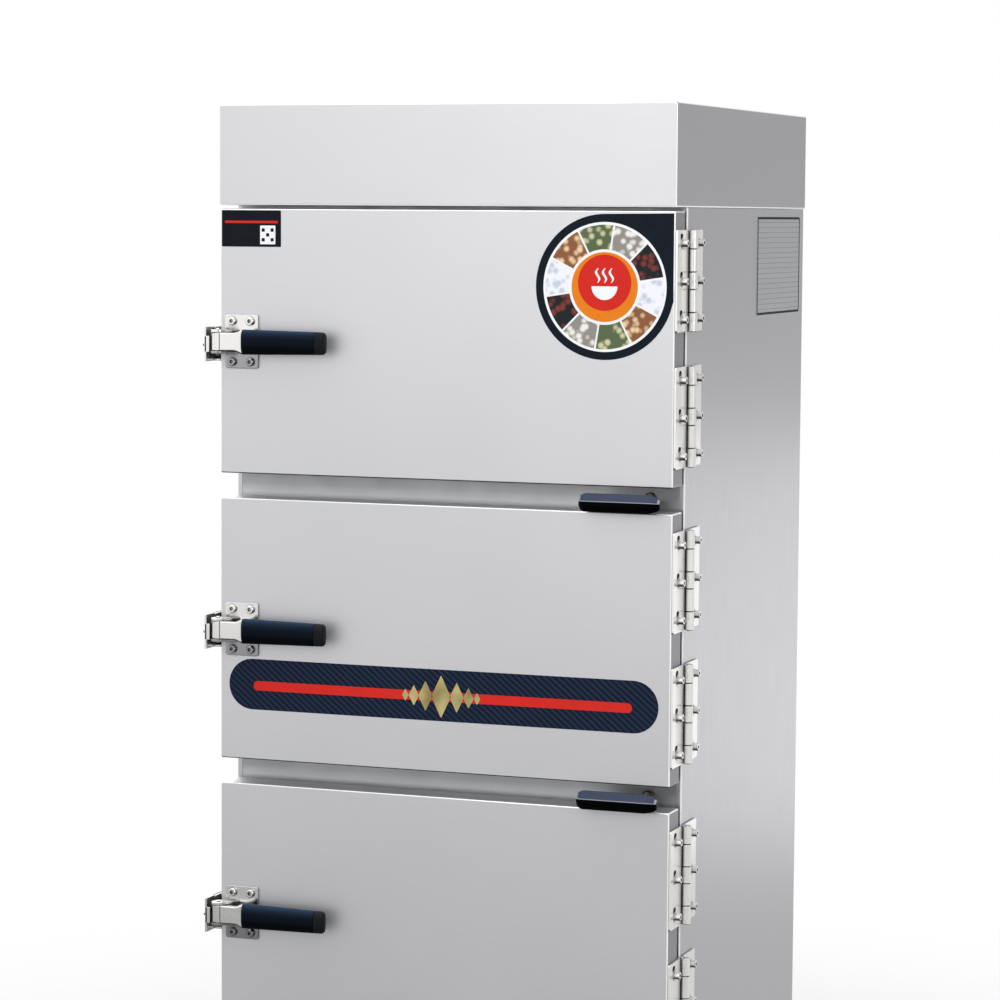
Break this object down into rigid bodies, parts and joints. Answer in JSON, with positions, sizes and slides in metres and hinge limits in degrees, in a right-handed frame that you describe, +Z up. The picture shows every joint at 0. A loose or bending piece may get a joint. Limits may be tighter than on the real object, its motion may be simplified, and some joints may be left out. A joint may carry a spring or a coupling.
{
  "type": "steamer cabinet",
  "caption": "Upright stainless steel steaming cabinet with stacked hinged doors, lever latches, valve levers, tray racks, a steam generator in the base and screw feet.",
  "frame": {"origin": "on the floor, under the middle of the whole object's box with its fittings", "axes": "+Z up, -Y is the side of the doors, +X is the side of the hinges and -X the side of the latches"},
  "size_m": [0.7312, 0.7426, 1.62],
  "materials": {
    "satin_steel": "satin brushed stainless steel sheet, fine grain",
    "liner_steel": "mill finished stainless steel sheet, smoother and darker than the outer shell",
    "polished_steel": "polished cast and pressed stainless steel hardware",
    "rack_chrome": "bright plated steel rod and angle",
    "brass": "turned brass pipe fitting",
    "gasket_rubber": "matt dark silicone rubber seal",
    "grip_plastic": "moulded blue black plastic, satin",
    "lever_plastic": "moulded black plastic, glossy",
    "foot_plastic": "moulded black nylon, matt",
    "mineral_wool": "pressed mineral wool board"
  },
  "bodies": {
    "cabinet": {"left_side_panel": "satin_steel", "right_side_panel": "satin_steel", "back_panel": "satin_steel", "front_frame": "satin_steel", "base_pan": "satin_steel", "base_cover": "satin_steel", "top_hood": "satin_steel", "insulation": "mineral_wool", "water_tank": "liner_steel", "heating_element": "liner_steel", "steam_riser": "liner_steel", "water_inlet": "brass", "drain_pipe": "liner_steel", "cable_gland": "foot_plastic", "lower_chamber": "liner_steel", "lower_tray_rack": "rack_chrome", "lower_bottom_hinge_body_leaf": "polished_steel", "lower_top_hinge_body_leaf": "polished_steel", "lower_keeper": "polished_steel", "middle_chamber": "liner_steel", "middle_tray_rack": "rack_chrome", "middle_bottom_hinge_body_leaf": "polished_steel", "middle_top_hinge_body_leaf": "polished_steel", "middle_keeper": "polished_steel", "upper_chamber": "liner_steel", "upper_tray_rack": "rack_chrome", "upper_bottom_hinge_body_leaf": "polished_steel", "upper_top_hinge_body_leaf": "polished_steel", "upper_keeper": "polished_steel"},
    "lower_door": {"lower_door_skin": "satin_steel", "lower_door_liner": "liner_steel", "lower_door_gasket": "gasket_rubber", "lower_bottom_hinge_door_leaf": "polished_steel", "lower_top_hinge_door_leaf": "polished_steel", "lower_latch_base": "polished_steel"},
    "middle_door": {"middle_door_skin": "satin_steel", "middle_door_liner": "liner_steel", "middle_door_gasket": "gasket_rubber", "middle_bottom_hinge_door_leaf": "polished_steel", "middle_top_hinge_door_leaf": "polished_steel", "middle_latch_base": "polished_steel"},
    "upper_door": {"upper_door_skin": "satin_steel", "upper_door_liner": "liner_steel", "upper_door_gasket": "gasket_rubber", "upper_bottom_hinge_door_leaf": "polished_steel", "upper_top_hinge_door_leaf": "polished_steel", "upper_latch_base": "polished_steel"},
    "lower_latch": {"lower_latch_lever": "polished_steel", "lower_latch_grip": "grip_plastic"},
    "middle_latch": {"middle_latch_lever": "polished_steel", "middle_latch_grip": "grip_plastic"},
    "upper_latch": {"upper_latch_lever": "polished_steel", "upper_latch_grip": "grip_plastic"},
    "lower_valve": {"lower_valve_lever": "lever_plastic"},
    "middle_valve": {"middle_valve_lever": "lever_plastic"},
    "upper_valve": {"upper_valve_lever": "lever_plastic"},
    "front_left_leg": {"front_left_foot": "foot_plastic"},
    "front_right_leg": {"front_right_foot": "foot_plastic"},
    "rear_left_leg": {"rear_left_foot": "foot_plastic"},
    "rear_right_leg": {"rear_right_foot": "foot_plastic"}
  },
  "joints": [
    {"name": "lower_door_hinge", "type": "hinge", "parent": "cabinet", "child": "lower_door", "pos_m": [0.35885, -0.27875, 0.438], "axis": [0, 0, 1], "range_deg": [0, 150]},
    {"name": "middle_door_hinge", "type": "hinge", "parent": "cabinet", "child": "middle_door", "pos_m": [0.35885, -0.27875, 0.858], "axis": [0, 0, 1], "range_deg": [0, 150]},
    {"name": "upper_door_hinge", "type": "hinge", "parent": "cabinet", "child": "upper_door", "pos_m": [0.35885, -0.27875, 1.278], "axis": [0, 0, 1], "range_deg": [0, 150]},
    {"name": "lower_latch_pivot", "type": "hinge", "parent": "lower_door", "child": "lower_latch", "pos_m": [-0.33465, -0.35675, 0.438], "axis": [0, 0, -1], "range_deg": [0, 75]},
    {"name": "middle_latch_pivot", "type": "hinge", "parent": "middle_door", "child": "middle_latch", "pos_m": [-0.33465, -0.35675, 0.858], "axis": [0, 0, -1], "range_deg": [0, 75]},
    {"name": "upper_latch_pivot", "type": "hinge", "parent": "upper_door", "child": "upper_latch", "pos_m": [-0.33465, -0.35675, 1.278], "axis": [0, 0, -1], "range_deg": [0, 75]},
    {"name": "lower_valve_pivot", "type": "hinge", "parent": "cabinet", "child": "lower_valve", "pos_m": [0.31685, -0.33275, 0.224], "axis": [0, 0, 1], "range_deg": [0, 90]},
    {"name": "middle_valve_pivot", "type": "hinge", "parent": "cabinet", "child": "middle_valve", "pos_m": [0.31685, -0.33275, 0.644], "axis": [0, 0, 1], "range_deg": [0, 90]},
    {"name": "upper_valve_pivot", "type": "hinge", "parent": "cabinet", "child": "upper_valve", "pos_m": [0.31685, -0.33275, 1.064], "axis": [0, 0, 1], "range_deg": [0, 90]},
    {"name": "front_left_foot_screw", "type": "slide", "parent": "cabinet", "child": "front_left_leg", "axis": [0, 0, -1], "range_m": [0, 0.02]},
    {"name": "front_right_foot_screw", "type": "slide", "parent": "cabinet", "child": "front_right_leg", "axis": [0, 0, -1], "range_m": [0, 0.02]},
    {"name": "rear_left_foot_screw", "type": "slide", "parent": "cabinet", "child": "rear_left_leg", "axis": [0, 0, -1], "range_m": [0, 0.02]},
    {"name": "rear_right_foot_screw", "type": "slide", "parent": "cabinet", "child": "rear_right_leg", "axis": [0, 0, -1], "range_m": [0, 0.02]}
  ]
}
